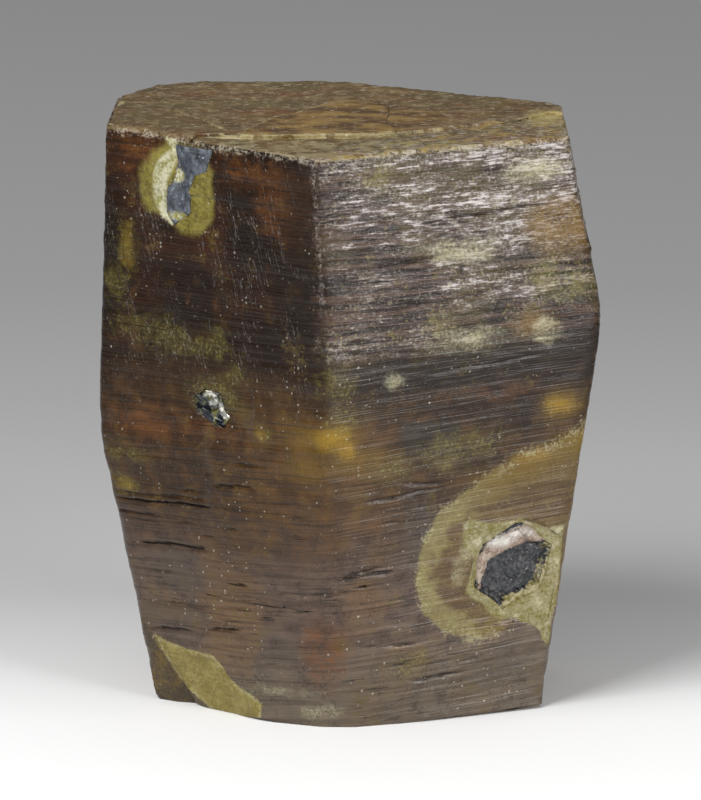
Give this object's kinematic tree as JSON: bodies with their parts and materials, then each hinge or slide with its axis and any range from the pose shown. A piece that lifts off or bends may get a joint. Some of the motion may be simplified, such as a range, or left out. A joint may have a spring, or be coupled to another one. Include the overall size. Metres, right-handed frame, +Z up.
{
  "type": "parisite crystal",
  "caption": "Stout six-sided barrel of brown parisite with level growth ridges, a flat top of thin steps, a chipped base corner and dark mineral grains in its faces. Stands on its flat base.",
  "frame": {"origin": "middle of the object's box, on the plane of its base", "axes": "+Z up along the crystal's long axis, -Y towards the sharp front edge that the picture shows, +X to the picture's right"},
  "size_m": [0.017, 0.015, 0.02],
  "materials": {
    "parisite": "satin",
    "large_dark_grain": "matte",
    "top_edge_grain": "satin",
    "small_bright_grain": "gloss"
  },
  "bodies": {
    "root": {"parisite_crystal": "parisite", "large_dark_grain": "large_dark_grain", "top_edge_grain": "top_edge_grain", "small_bright_grain": "small_bright_grain"}
  },
  "joints": []
}
